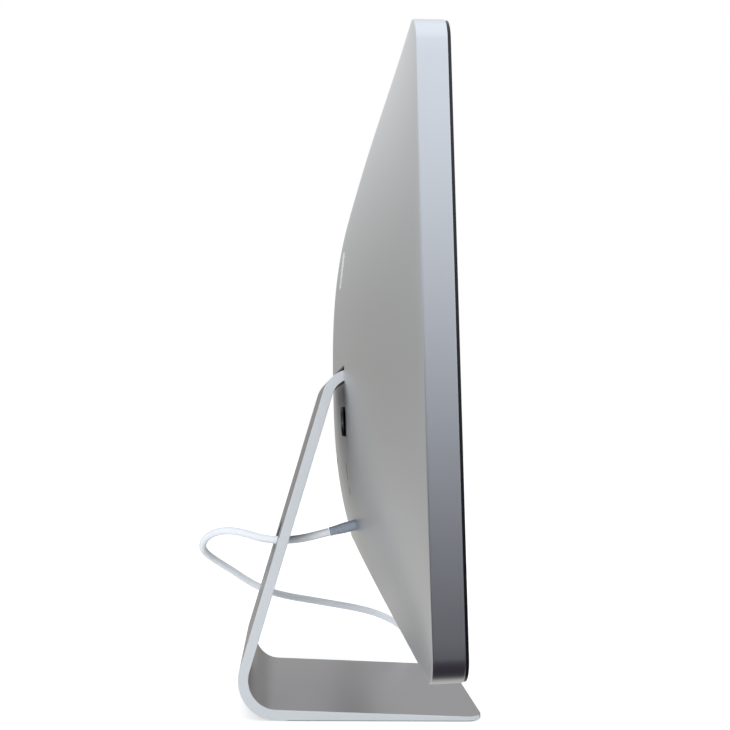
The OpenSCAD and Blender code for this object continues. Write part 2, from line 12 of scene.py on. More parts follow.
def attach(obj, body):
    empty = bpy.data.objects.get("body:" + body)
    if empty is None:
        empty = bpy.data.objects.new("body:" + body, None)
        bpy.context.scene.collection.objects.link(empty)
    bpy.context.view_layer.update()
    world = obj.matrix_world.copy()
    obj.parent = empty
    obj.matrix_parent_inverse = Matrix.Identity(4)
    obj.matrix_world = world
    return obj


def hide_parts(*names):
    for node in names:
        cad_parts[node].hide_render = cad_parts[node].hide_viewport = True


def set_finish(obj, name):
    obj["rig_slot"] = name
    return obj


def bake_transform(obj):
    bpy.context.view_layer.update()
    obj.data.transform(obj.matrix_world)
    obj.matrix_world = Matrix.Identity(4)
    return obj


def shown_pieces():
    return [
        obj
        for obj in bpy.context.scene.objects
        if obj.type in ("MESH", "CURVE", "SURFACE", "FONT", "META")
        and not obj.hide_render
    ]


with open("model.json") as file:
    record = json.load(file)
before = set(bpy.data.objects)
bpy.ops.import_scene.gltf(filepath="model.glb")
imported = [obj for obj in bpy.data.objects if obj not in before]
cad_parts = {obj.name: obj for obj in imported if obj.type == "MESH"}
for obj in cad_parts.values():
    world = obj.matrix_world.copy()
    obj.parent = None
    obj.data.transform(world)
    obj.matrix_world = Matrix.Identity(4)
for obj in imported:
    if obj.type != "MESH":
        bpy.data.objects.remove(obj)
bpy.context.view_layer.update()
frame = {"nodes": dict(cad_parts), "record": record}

MM = 0.001
# Points closer together than this are one point, and two cutters' faces never quite meet
SAME_POINT = 1e-7
HAIR = 1e-5
# An edge at a wider angle than this is a sharp one
SHARP = 32


# ---- Places and sizes, in metres --------------------------------------------------------

# Case, in its own frame: x across, y back from the case's rear edge, z up from its lower edge
CASE_W = 0.650
CASE_H = 0.390
CORNER_R = 0.018
BAND_D = 0.0188
BULGE_D = 0.0304
WALL = 0.0025
GLASS_T = 0.0018
REST_TILT = math.radians(3.16)
CASE_AT = Vector((0, -0.0161, 0.1006))
BULGE_ACROSS = 3.17
BULGE_UP = 2.5
BULGE_SOFT = 0.82
BULGE_MID = -0.056

# Stand
STAND_W = 0.156
PLATE_T = 0.0085
TOE_Y = -0.1035
TOE_T = 0.0032
TOE_CORNER = 0.014
PAD_T = 0.0008
HEEL_R = 0.033
NECK_R = 0.0267
LEG_LEAN = math.radians(14.65)
HOLE_R = 0.028
HOLE_Z = 0.132

CORD_R = 0.0035


def case_matrix():
    """From the case's own frame to the world."""
    return Matrix.Translation(CASE_AT) @ Matrix.Rotation(-REST_TILT, 4, "X")


IN_CASE = case_matrix()


# ---- Camera ----------------------------------------------------------------------------


def make_camera():
    yaw, pitch, roll = 0.085, 0.0685, 0.0329
    ahead = Vector((
        math.cos(yaw) * math.cos(pitch),
        -math.sin(yaw) * math.cos(pitch),
        math.sin(pitch),
    ))
    level_right = Vector((-math.sin(yaw), -math.cos(yaw), 0))
    level_up = level_right.cross(ahead)
    right = level_right * math.cos(roll) + level_up * math.sin(roll)
    up = level_up * math.cos(roll) - level_right * math.sin(roll)
    data = bpy.data.cameras.new("camera")
    data.lens = 41.705
    data.sensor_width = 36
    data.clip_start = 0.01
    camera = bpy.data.objects.new("camera", data)
    turn = Matrix((right, up, -ahead)).transposed().to_4x4()
    camera.matrix_world = Matrix.Translation((-0.79767, 0.0682, 0.24807)) @ turn
    bpy.context.scene.collection.objects.link(camera)
    bpy.context.scene.camera = camera


make_camera()


# ---- Mesh helpers ----------------------------------------------------------------------


def new_object(name, mesh, body=None, place=None):
    """A new object in the scene, moved to its place and riding on its body."""
    piece = bpy.data.objects.new(name, mesh)
    bpy.context.scene.collection.objects.link(piece)
    if place is not None:
        mesh.transform(place)
    if body:
        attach(piece, body)
    return piece


def mesh_of(name, points, faces, merge=True):
    """A mesh whose faces all look outwards. merge makes repeated points one point."""
    mesh = bpy.data.meshes.new(name)
    mesh.from_pydata([tuple(p) for p in points], [], faces)
    mesh.validate()
    tidy = bmesh.new()
    tidy.from_mesh(mesh)
    if merge:
        bmesh.ops.remove_doubles(tidy, verts=tidy.verts, dist=SAME_POINT)
    bmesh.ops.recalc_face_normals(tidy, faces=tidy.faces)
    tidy.to_mesh(mesh)
    tidy.free()
    return mesh


def sharpen(mesh, degrees=SHARP):
    """Smooth shading, with a sharp edge wherever two faces meet at more than that angle."""
    mesh.shade_smooth()
    mesh.set_sharp_from_angle(angle=math.radians(degrees))
    return mesh


def ring_faces(rows, around, first=0):
    """Quads between neighbouring rows of points, each row closed on itself."""
    faces = []
    for k in range(rows - 1):
        for i in range(around):
            j = (i + 1) % around
            a = first + k * around
            b = a + around
            faces.append((a + i, a + j, b + j, b + i))
    return faces


def loft(name, rings, closed_ends=True, degrees=SHARP):
    """A skin over rings that all have the same number of points."""
    around = len(rings[0])
    points = [p for ring in rings for p in ring]
    faces = ring_faces(len(rings), around)
    if closed_ends:
        last = (len(rings) - 1) * around
        faces.append(tuple(range(around)))
        faces.append(tuple(last + i for i in range(around)))
    return sharpen(mesh_of(name, points, faces), degrees)


def turned(name, profile, sides=64, degrees=SHARP):
    """A round form about z from (radius, height) pairs."""
    rings = []
    for radius, height in profile:
        ring = []
        for i in range(sides):
            turn = 2 * math.pi * i / sides
            ring.append((radius * math.cos(turn), radius * math.sin(turn), height))
        rings.append(ring)
    return loft(name, rings, True, degrees)


def rounded_outline(width, height, radius, corner_steps, along=1):
    """Points round a rectangle with round corners, centred on the origin, anticlockwise."""
    points = []
    hx, hz = width / 2 - radius, height / 2 - radius
    corners = [(hx, hz), (-hx, hz), (-hx, -hz), (hx, -hz)]
    for quarter, (cx, cz) in enumerate(corners):
        arc = []
        for i in range(corner_steps + 1):
            a = math.pi / 2 * (quarter + i / corner_steps)
            arc.append((cx + radius * math.cos(a), cz + radius * math.sin(a)))
        points += arc
        nx, nz = corners[(quarter + 1) % 4]
        b = math.pi / 2 * (quarter + 1)
        end = (nx + radius * math.cos(b), nz + radius * math.sin(b))
        for i in range(1, along):
            t = i / along
            points.append((
                arc[-1][0] + (end[0] - arc[-1][0]) * t,
                arc[-1][1] + (end[1] - arc[-1][1]) * t,
            ))
    return points


def soft_block(name, low, high, radius, bevel, axis="y", corner_steps=6):
    """A block with round corners seen along its axis, and softened edges at both ends."""
    u, v, w = (0, 2, 1) if axis == "y" else (0, 1, 2)
    size_u, size_v = high[u] - low[u], high[v] - low[v]
    mid_u, mid_v = (high[u] + low[u]) / 2, (high[v] + low[v]) / 2
    rings = []
    ends = [(low[w], 1), (high[w], -1)]
    for end, inward in ends:
        steps = range(4) if inward == 1 else range(3, -1, -1)
        for i in steps:
            a = math.pi / 2 * i / 3
            inset = bevel * (1 - math.sin(a))
            depth = bevel * (1 - math.cos(a))
            outline = rounded_outline(
                size_u - 2 * inset, size_v - 2 * inset,
                max(radius - inset, bevel * 0.2), corner_steps,
            )
            ring = []
            for p, q in outline:
                point = [0.0, 0.0, 0.0]
                point[u], point[v], point[w] = mid_u + p, mid_v + q, end + inward * depth
                ring.append(tuple(point))
            rings.append(ring)
    return loft(name, rings)


def turn_x(angle):
    return Matrix.Rotation(angle, 4, "X")


def placed(mesh, place):
    mesh.transform(place)
    return mesh


def joined(name, meshes):
    """One mesh out of several."""
    whole = bmesh.new()
    for mesh in meshes:
        whole.from_mesh(mesh)
    mesh = bpy.data.meshes.new(name)
    whole.to_mesh(mesh)
    whole.free()
    return mesh


def apply_modifiers(piece):
    bpy.context.view_layer.update()
    shaped = piece.evaluated_get(bpy.context.evaluated_depsgraph_get())
    mesh = bpy.data.meshes.new_from_object(shaped)
    piece.modifiers.clear()
    piece.data = mesh


def cut(piece, cutters):
    """Takes the cutters' solids away from the piece."""
    tool = bpy.data.objects.new("cutter", joined("cutter", cutters))
    bpy.context.scene.collection.objects.link(tool)
    modifier = piece.modifiers.new("cut", "BOOLEAN")
    modifier.operation = "DIFFERENCE"
    modifier.solver = "EXACT"
    modifier.use_self = True
    modifier.object = tool
    apply_modifiers(piece)
    bpy.data.objects.remove(tool)
    return piece.data


# ---- Mains lead --------------------------------------------------------------------------

# The lead's route, in millimetres: from the case, through the leg's hole, round behind the
# leg and forward under the case
LEAD_ROUTE = [
    (-40, 30.8, 150.9), (-39.8, 34, 149.9), (-36.4, 43, 146.9), (-27, 57, 142.4),
    (-16, 74, 139.4), (-6, 91, 139.5), (4, 108, 142.5), (14, 123, 143), (26, 137, 139),
    (38, 146.5, 131), (52, 149.5, 121), (66, 145, 112), (78, 135, 103), (88, 120, 92),
    (96, 103, 80), (101, 85, 71), (105, 64, 65), (108, 42, 61), (112, 18, 56.5),
    (116, -8, 51.5), (122, -32, 44.5), (134, -53, 33), (152, -68, 20), (174, -77.5, 8.5),
    (200, -80, 3.6),
]
# From the hank to the plug
TAIL_ROUTE = [
    (200, -136, 10.6), (191, -133.5, 10.6), (182, -128, 10.4), (174, -121, 10.2),
    (167, -113, 10), (159, -106.5, 10), (151, -102.5, 10), (142, -100.5, 10),
]
# The hank, in millimetres: its middle, half its straight runs, and its lanes and layers
HANK_MID = (248, -108)
HALF_RUN = 42
OUTER, INNER = 28, 21
LOW_LAYER, HIGH_LAYER = 3.6, 10.6
LAYER_STEP = HIGH_LAYER - LOW_LAYER
# How far the tie pulls each run in
PINCH = 11
CURVE_STEPS = 8
PATH_SPACING = 3


def curve_through(points, steps):
    """A smooth curve through the points, with that many steps between two of them."""
    p = np.array(points, float)
    p = np.vstack([p[0], p, p[-1]])
    curve = []
    for i in range(1, len(p) - 2):
        a, b, c, d = p[i - 1:i + 3]
        for s in range(steps):
            t = s / steps
            curve.append(0.5 * (
                2 * b + (c - a) * t + (2 * a - 5 * b + 4 * c - d) * t ** 2
                + (3 * b - a - 3 * c + d) * t ** 3
            ))
    curve.append(p[-2])
    return curve


def hank_run(lane, height, forward):
    """One straight run of the hank, pinched in by the tie at its middle."""
    side = 1 if lane > 0 else -1
    run = []
    for i in range(15):
        u = -HALF_RUN + 2 * HALF_RUN * i / 14
        pinch = PINCH * math.cos(math.pi * u / (2 * HALF_RUN)) ** 2
        run.append((HANK_MID[0] + u, HANK_MID[1] + lane - side * pinch, height))
    return run if forward else run[::-1]


def hank_turn(end, start_lane, end_lane, height):
    """Half a turn at the hank's high (1) or low (-1) x end. height depends on the angle."""
    radius = abs(end_lane - start_lane) / 2
    middle = (start_lane + end_lane) / 2
    turn = []
    for i in range(1, 16):
        a = -math.pi / 2 + math.pi * i / 16
        x = HANK_MID[0] + end * (HALF_RUN + radius * math.cos(a))
        y = HANK_MID[1] + middle - end * radius * math.sin(a)
        turn.append((x, y, height(a)))
    return turn


def stay_low(_angle):
    return LOW_LAYER


def stay_high(_angle):
    return HIGH_LAYER


def climb(a):
    """Up from the low layer to the high one, in half a turn."""
    return LOW_LAYER + LAYER_STEP * math.sin(a / 2 + math.pi / 4)


def over(a):
    """A hump over the turn that climbs, where the lead crosses it."""
    return climb(a) + LAYER_STEP * math.cos(a / 2 + math.pi / 4)


def hank_points():
    """Four turns: an outer and an inner one in each layer."""
    points = hank_run(OUTER, LOW_LAYER, True)
    points += hank_turn(1, OUTER, -OUTER, stay_low)
    points += hank_run(-OUTER, LOW_LAYER, False)
    points += hank_turn(-1, -OUTER, INNER, stay_low)
    points += hank_run(INNER, LOW_LAYER, True)
    points += hank_turn(1, INNER, -INNER, stay_low)
    points += hank_run(-INNER, LOW_LAYER, False)
    points += hank_turn(-1, -INNER, INNER, climb)
    points += hank_run(INNER, HIGH_LAYER, True)
    points += hank_turn(1, INNER, -INNER, stay_high)
    points += hank_run(-INNER, HIGH_LAYER, False)
    points += hank_turn(-1, -INNER, OUTER, over)
    points += hank_run(OUTER, HIGH_LAYER, True)
    points += hank_turn(1, OUTER, -OUTER, stay_high)
    points += hank_run(-OUTER, HIGH_LAYER, False)
    return points


def evenly(points, spacing):
    """The same line with its points a set distance apart."""
    p = np.array(points, float)
    along = np.concatenate([[0], np.cumsum(np.linalg.norm(np.diff(p, axis=0), axis=1))])
    wanted = np.linspace(0, along[-1], int(round(along[-1] / spacing)) + 1)
    return np.stack([np.interp(wanted, along, p[:, k]) for k in range(3)], axis=1)


def lead_path():
    """The lead's whole route in metres, from the case to the plug."""
    route = curve_through(LEAD_ROUTE, CURVE_STEPS)
    tail = curve_through(TAIL_ROUTE, CURVE_STEPS)
    path = evenly(route + hank_points() + tail, PATH_SPACING)
    for _ in range(3):
        path[2:-2] = (path[1:-3] + 2 * path[2:-2] + path[3:-1]) / 4
    return path * MM


def tube(name, path, radius, sides=18):
    """A round tube whose rings don't twist."""
    side = Vector((0, 0, 1))
    rings = []
    count = len(path)
    for i in range(count):
        before, after = path[max(i - 1, 0)], path[min(i + 1, count - 1)]
        ahead = Vector(after - before).normalized()
        side = (side - ahead * side.dot(ahead)).normalized()
        other = ahead.cross(side)
        centre = Vector(path[i])
        ring = []
        for k in range(sides):
            a = 2 * math.pi * k / sides
            ring.append(centre + radius * (math.cos(a) * side + math.sin(a) * other))
        rings.append(ring)
    return loft(name, rings, True, 60)


PATH = lead_path()
lead = new_object("mains_lead", tube("mains_lead", PATH, CORD_R))
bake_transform(lead)
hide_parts("power_cord", "cord_hank", "plug_lead")
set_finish(lead, "white_cord")


def strain_relief():
    """A tapered sleeve with a collar against the case and shallow flexing grooves."""
    profile = [(0.0, 0.9), (5.2, 0.9), (5.4, 1.2), (5.4, 3.0), (5.1, 3.4), (4.7, 3.6)]
    for i in range(5):
        z = 17 + 2.1 * i
        r = 4.6 - 0.75 * i / 5
        profile += [(r, z), (r - 0.35, z + 0.25), (r - 0.35, z + 0.85), (r - 0.1, z + 1.1)]
    profile += [(3.85, 28.2), (3.75, 28.8), (3.6, 29.0), (0.0, 29.0)]
    mesh = turned("lead_sleeve", [(r * MM, z * MM) for r, z in profile])
    place = Matrix.Translation((-0.040, 0.0024, 0.159)) @ turn_x(math.radians(-106))
    piece = new_object("lead_sleeve", mesh, "display", place)
    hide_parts("strain_relief")
    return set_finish(piece, "grey_plastic")


# The plug lies along x. Its blades' ends point to -x
PLUG_X = (0.106, 0.130, 0.142)
PLUG_Y = -0.1005
PLUG_Z = 0.010
BLADE_APART = 0.0127
BLADE_TIP_X = 0.0902
BLADE_ROOT_X = 0.1064
BLADE_HALF_H = 0.0032
BLADE_ROUND = 0.002


def plug_body():
    """A moulded two-pin plug with finger ribs and a tapered tail.

    A station is x in metres, then width, height and corner radius in millimetres.
    """
    x0, x1, x2 = PLUG_X
    rings = []
    stations = [
        (x0, 22.0, 17.2, 3.0), (x0 + 0.0006, 23.4, 18.6, 3.4), (x0 + 0.0015, 24.0, 19.2, 3.6),
        (x0 + 0.008, 24.0, 19.2, 4.0),
    ]
    for i in range(4):
        x = x0 + 0.0095 + 0.0032 * i
        width = 23.6 - 1.3 * i
        height = 19.0 - 0.9 * i
        groove = (width - 1.6, height - 1.0, 4.2)
        stations += [
            (x, width, height, 4.4), (x + 0.0008, *groove), (x + 0.0016, *groove),
            (x + 0.0024, width, height, 4.4),
        ]
    stations += [
        (x1, 16.6, 14.4, 6.6), (x1 + 0.003, 13.0, 12.0, 5.9), (x1 + 0.006, 10.6, 10.4, 5.1),
        (x1 + 0.009, 9.2, 9.2, 4.55), (x2 - 0.0004, 8.4, 8.4, 4.15), (x2, 7.8, 7.8, 3.85),
    ]
    for x, width, height, radius in stations:
        outline = rounded_outline(width * MM, height * MM, radius * MM, 8)
        rings.append([(x, PLUG_Y + p, PLUG_Z + q) for p, q in outline])
    piece = new_object("mains_plug", loft("mains_plug", rings, True, 40), "stand")
    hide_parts("plug_body")
    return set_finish(piece, "white_plug")


def blade_outline():
    """(x, height from the middle) round one blade, with its two tip corners rounded."""
    centre_x = BLADE_TIP_X + BLADE_ROUND
    centre_z = BLADE_HALF_H - BLADE_ROUND
    lower = [(BLADE_ROOT_X, -BLADE_HALF_H)]
    for i in range(9):
        a = math.pi / 2 * i / 8
        lower.append((
            centre_x - BLADE_ROUND * math.sin(a), -centre_z - BLADE_ROUND * math.cos(a),
        ))
    return lower + [(x, -z) for x, z in reversed(lower)]


def plug_pins():
    """Two flat blades with rounded tips and a hole near each tip."""
    blades = []
    holes = []
    for side in (-1, 1):
        y = PLUG_Y + side * BLADE_APART / 2
        rings = []
        for offset, shrink in ((-0.8, 0.15), (-0.65, 0), (0.65, 0), (0.8, 0.15)):
            rings.append([
                (
                    x + shrink * MM * (x < PLUG_X[0] - 0.011), y + offset * MM,
                    PLUG_Z + z * (1 - shrink * 0.1),
                )
                for x, z in blade_outline()
            ])
        blades.append(loft("blade", rings, True, 30))
        hole = turned("hole", [(0, -0.003), (0.0016, -0.003), (0.0016, 0.003), (0, 0.003)], 24)
        holes.append(placed(hole, Matrix.Translation((0.0945, y, PLUG_Z)) @ turn_x(math.pi / 2)))
    piece = new_object("plug_blades", joined("plug_blades", blades), "stand")
    sharpen(cut(piece, holes), 30)
    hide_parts("plug_pins")
    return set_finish(piece, "brass_pins")


def cord_tie():
    """A hook-and-loop strap wrapped round the hank's waist, with its free end lapped over."""
    mid_x, mid_y = HANK_MID
    reach = 20.9
    bottom, top = 0.15, HIGH_LAYER + 3.7
    corner = 3.4
    outline = []
    for cy, cz, start in (
        (mid_y + reach - corner, top - corner, 0), (mid_y - reach + corner, top - corner, 90),
        (mid_y - reach + corner, bottom + corner, 180), (mid_y + reach - corner, bottom + corner, 270),
    ):
        for i in range(7):
            a = math.radians(start + 15 * i)
            out_y, out_z = math.cos(a), math.sin(a)
            outline.append((cy + corner * out_y, cz + corner * out_z, out_y, out_z))
    half, thick = 6.6, 1.0
    soft, lip = 0.25, 0.15
    clear_of_desk = 0.02
    rings = []
    for x, lift in (
        (-half, lip), (-half + soft, 0), (half - soft, 0), (half, lip), (half, thick - lip),
        (half - soft, thick), (-half + soft, thick), (-half, thick - lip),
    ):
        rings.append([
            (
                (mid_x + x) * MM, (y + lift * out_y) * MM,
                max(z + lift * out_z, clear_of_desk) * MM,
            )
            for y, z, out_y, out_z in outline
        ])
    rings.append(rings[0])
    band = loft("band", rings, False, 50)
    low_corner = (mid_x - 5.6, mid_y - 12, top + thick - 0.1)
    high_corner = (mid_x + 5.6, mid_y + 15, top + thick + 0.9)
    lap = soft_block(
        "lap", [c * MM for c in low_corner], [c * MM for c in high_corner],
        2.4 * MM, 0.3 * MM, "z",
    )
    piece = new_object("lead_tie", joined("lead_tie", [band, lap]), "stand")
    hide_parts("cord_tie")
    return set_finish(piece, "black_tie")


strain_relief()
plug = plug_body()
blades = plug_pins()
tie = cord_tie()


# ---- Case --------------------------------------------------------------------------------


def fade(share, power):
    """The bulge's height at a share of the way from its middle to its rim."""
    return max(0.0, 1 - min(1.0, abs(share)) ** power) ** BULGE_SOFT


def back_y(x, z):
    """How far the back's outer face stands behind the case's rear edge."""
    up = 2 * z / CASE_H - 1 - BULGE_MID
    up /= 1 - BULGE_MID if up > 0 else 1 + BULGE_MID
    return BULGE_D * fade(2 * x / CASE_W, BULGE_ACROSS) * fade(up, BULGE_UP)


def skin_ring(outline, share, lift=0.0):
    """One ring of the back, at a share of the outline's size."""
    ring = []
    for x, z in outline:
        px, pz = x * share, z * share + CASE_H / 2
        ring.append((px, back_y(px, pz) + lift, pz))
    return ring


def flat_ring(outline, y):
    return [(x, y, z + CASE_H / 2) for x, z in outline]


def between(a, b, c, t):
    """A point of the curve from a to c that leaves and arrives along b."""
    return tuple(
        (1 - t) ** 2 * p + 2 * t * (1 - t) * q + t ** 2 * r for p, q, r in zip(a, b, c)
    )


def case_outline(inset):
    return rounded_outline(CASE_W - 2 * inset, CASE_H - 2 * inset, CORNER_R - inset, 16, 40)


BACK_RINGS = 58
INNER_RINGS = 15


def housing_mesh():
    """The outer skin, the edge at the front and a simpler inner skin, as one closed form."""
    outline = case_outline(0)
    outer = [
        flat_ring(case_outline(inset), y) for inset, y in (
            (0.0009, -BAND_D), (0.0004, -BAND_D + 0.0001), (0.0001, -BAND_D + 0.0004),
        )
    ]
    band_end = -0.0006
    for y in (-BAND_D + 0.0009, -BAND_D + 0.0012, -BAND_D / 2, -0.0008, band_end):
        outer.append(flat_ring(outline, y))
    # A small round between the band and the back
    foot_share = 0.9978
    foot = skin_ring(outline, foot_share)
    start, turn = flat_ring(outline, band_end), flat_ring(outline, 0.00003)
    for t in (0.25, 0.5, 0.75):
        outer.append([between(*corner, t) for corner in zip(start, turn, foot)])
    for k in range(BACK_RINGS):
        outer.append(skin_ring(outline, foot_share * (1 - (k / BACK_RINGS) ** 1.6)))

    inside = case_outline(WALL)
    inner = [flat_ring(inside, -BAND_D), flat_ring(inside, -WALL)]
    for k in range(1, INNER_RINGS):
        inner.append(skin_ring(inside, 1 - (k / INNER_RINGS) ** 1.5, -WALL))

    around = len(outline)
    points, faces = [], []
    for rings, lift in ((outer, 0), (inner, -WALL)):
        first = len(points)
        points += [p for ring in rings for p in ring]
        faces += ring_faces(len(rings), around, first)
        last = len(points) - around
        tip = len(points)
        points.append((0, back_y(0, CASE_H / 2) + lift, CASE_H / 2))
        faces += [(last + i, last + (i + 1) % around, tip) for i in range(around)]
    faces += [(i, (i + 1) % around, first + (i + 1) % around, first + i) for i in range(around)]
    return sharpen(mesh_of("rear_shell", points, faces, merge=False), 40)


def through(x, z, width, height, radius, y0=0.008):
    """A cutter through the back from y0, with round corners seen from behind."""
    low_corner = (x - width / 2, y0, z - height / 2)
    high_corner = (x + width / 2, CUT_END, z + height / 2)
    return soft_block("cutter", low_corner, high_corner, radius, 0.0001, "y", 8)


# Openings in the back, as (x, z) in the case's own frame
CUT_END = 0.040
USB_X = [0.118 + 0.022 * i for i in range(4)]
PORT_Z = 0.107
NETWORK_X = 0.212
VIDEO_AT = (-0.045, 0.106)
VIDEO_SIZE = (0.0062, 0.0156)
AUDIO_AT = (-0.050, 0.0896)
AUDIO_R = 0.0038
INLET_AT = (-0.040, 0.0585)
INLET_R = 0.0060
VENT_AT = (-0.049, 0.150)
VENT_SIZE = (0.074, 0.026)
NECK_SLOT_Z = (0.1827, 0.1982)
BUTTON_AT = (0.250, 0.044)
BUTTON_R = 0.006
# The back slopes at the button and the disc, so they lean and turn with it
BUTTON_LEAN, BUTTON_TURN = math.radians(-9.1), math.radians(-4.9)
BADGE_Z = 0.293
BADGE_R = 0.018
BADGE_LEAN = math.radians(7.2)
INTAKE_SLOTS = 22
INTAKE_APART = 0.018


def at_button():
    x, z = BUTTON_AT
    return (
        Matrix.Translation((x, back_y(x, z), z))
        @ Matrix.Rotation(BUTTON_TURN, 4, "Z")
        @ turn_x(BUTTON_LEAN - math.pi / 2)
    )


def at_badge():
    place = Matrix.Translation((0, back_y(0, BADGE_Z), BADGE_Z))
    return place @ turn_x(BADGE_LEAN - math.pi / 2)


def housing_cutters():
    """Every opening in the case, the button's dish and the disc's seat."""
    low_z, high_z = NECK_SLOT_Z
    cutters = [through(0, (low_z + high_z) / 2, STAND_W + 0.003, high_z - low_z, 0.0012)]
    cutters.append(through(*VENT_AT, *VENT_SIZE, VENT_SIZE[1] / 2 - HAIR, 0.010))
    cutters.append(through(*VIDEO_AT, *VIDEO_SIZE, 0.00305, 0.010))
    cutters += [through(x, PORT_Z, 0.014, 0.0068, 0.0010) for x in USB_X]
    cutters.append(through(NETWORK_X, PORT_Z, 0.0166, 0.0142, 0.0009))
    for x, z, radius in ((*AUDIO_AT, AUDIO_R), (*INLET_AT, INLET_R)):
        cutters.append(through(x, z, 2 * radius, 2 * radius, radius - HAIR))
    hole_r = BUTTON_R + 0.0003
    hole = [(0, -0.006), (hole_r, -0.006), (hole_r, 0.003), (0, 0.003)]
    dish = [
        (0, -0.0008), (0.0072, -0.0008), (0.0078, -0.0005), (0.0080, 0.0), (0.0080, 0.005),
        (0, 0.005),
    ]
    cutters.append(placed(turned("cutter", hole), at_button()))
    cutters.append(placed(turned("cutter", dish), at_button()))
    seat_r = BADGE_R + 0.0001
    seat = [(0, -0.0009), (seat_r, -0.0009), (seat_r, 0.004), (0, 0.004)]
    cutters.append(placed(turned("cutter", seat, 96), at_badge()))
    for i in range(INTAKE_SLOTS):
        x = INTAKE_APART * (i - (INTAKE_SLOTS - 1) / 2)
        low_corner = (x - 0.005, -0.0145, -0.001)
        high_corner = (x + 0.005, -0.0125, WALL + 0.001)
        cutters.append(soft_block("cutter", low_corner, high_corner, 0.00099, HAIR, "z"))
    return cutters


def settle_shading(piece):
    """Flat faces stay flat right up to their rounded edges."""
    modifier = piece.modifiers.new("weigh", "WEIGHTED_NORMAL")
    modifier.keep_sharp = True
    apply_modifiers(piece)
    return piece


def keep_shading(piece, smooth_mesh):
    """After a cut, faces that lie on the uncut form shade as it did, and the rest stay flat."""
    source = [v.co.copy() for v in smooth_mesh.vertices]
    source_faces = [tuple(p.vertices) for p in smooth_mesh.polygons]
    tree = BVHTree.FromPolygons(source, source_faces)
    corner_normals = [Vector(n.vector) for n in smooth_mesh.corner_normals]
    starts = [p.loop_start for p in smooth_mesh.polygons]
    mesh = piece.data
    mesh.shade_smooth()
    normals = []
    for polygon in mesh.polygons:
        _, normal, _, distance = tree.find_nearest(polygon.center)
        on_form = distance < 2 * HAIR and normal.dot(polygon.normal) > 0.9
        for vertex in polygon.vertices:
            if not on_form:
                normals.append(polygon.normal.copy())
                continue
            at = mesh.vertices[vertex].co
            nudged = at.lerp(polygon.center, 0.001)
            hit, _, face, _ = tree.find_nearest(nudged)
            weights = poly_3d_calc([source[c] for c in source_faces[face]], hit)
            blended = Vector()
            for k, weight in enumerate(weights):
                blended += corner_normals[starts[face] + k] * weight
            normals.append(blended.normalized())
    mesh.normals_split_custom_set(normals)


def rear_shell():
    """The case's aluminium shell, with every opening cut through it."""
    whole = housing_mesh()
    piece = new_object("rear_shell", whole.copy())
    cut(piece, housing_cutters())
    keep_shading(piece, whole)
    piece.data.transform(IN_CASE)
    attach(piece, "display")
    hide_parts("rear_housing")
    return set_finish(piece, "satin_aluminium")


def cover_glass():
    """The front glass, set in a little from the case's edge."""
    inset = 0.0005
    low_corner = (-CASE_W / 2 + inset, -BAND_D - GLASS_T, inset)
    high_corner = (CASE_W / 2 - inset, -BAND_D, CASE_H - inset)
    mesh = soft_block("cover_glass", low_corner, high_corner, CORNER_R - inset, 0.0004, "y", 16)
    piece = settle_shading(new_object("cover_glass", sharpen(mesh, 40), None, IN_CASE))
    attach(piece, "display")
    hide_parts("front_glass")
    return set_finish(piece, "black_glass")


def badge():
    """A plain polished disc with a soft edge and a shallow turned ring."""
    r = BADGE_R
    profile = [
        (0, -0.0008), (r - 0.0002, -0.0008), (r, -0.0006), (r, 0.0), (r - 0.0001, 0.00018),
        (r - 0.0004, 0.0003), (r - 0.0022, 0.0003), (r - 0.0024, 0.00022),
        (r - 0.0028, 0.00022), (r - 0.0030, 0.0003), (0, 0.0003),
    ]
    mesh = turned("rear_disc", profile, 96)
    piece = new_object("rear_disc", mesh, "display", IN_CASE @ at_badge())
    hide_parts("badge_disc")
    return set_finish(piece, "polished_disc")


def button():
    """The power button: a dished cap with a softened rim, and its flange and stem."""
    r = BUTTON_R
    profile = [
        (0, -0.0084), (0.0015, -0.0084), (0.0015, -0.0054), (r + 0.0016, -0.0054),
        (r + 0.0016, -0.0042), (r, -0.0042), (r, -0.0004), (r - 0.0001, -0.00015),
        (r - 0.0004, 0.0), (r - 0.0009, -0.00005), (r - 0.002, -0.0003), (0.002, -0.00045),
        (0, -0.00047),
    ]
    mesh = turned("power_button_cap", profile)
    piece = new_object("power_button_cap", mesh, "button", IN_CASE @ at_button())
    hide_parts("power_button")
    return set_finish(piece, "satin_aluminium")


# ---- Stand -------------------------------------------------------------------------------

HEEL_MID = Vector((-TOE_Y - HEEL_R, PAD_T + HEEL_R))
NECK_TOP = 0.294
LEAN_OUT = Vector((math.cos(LEG_LEAN), math.sin(LEG_LEAN)))
LEG_FOOT = HEEL_MID + HEEL_R * LEAN_OUT
NECK_Z = NECK_TOP - NECK_R
NECK_MID = Vector((
    LEG_FOOT.x - (NECK_Z - LEG_FOOT.y) * math.tan(LEG_LEAN) - NECK_R / math.cos(LEG_LEAN),
    NECK_Z,
))


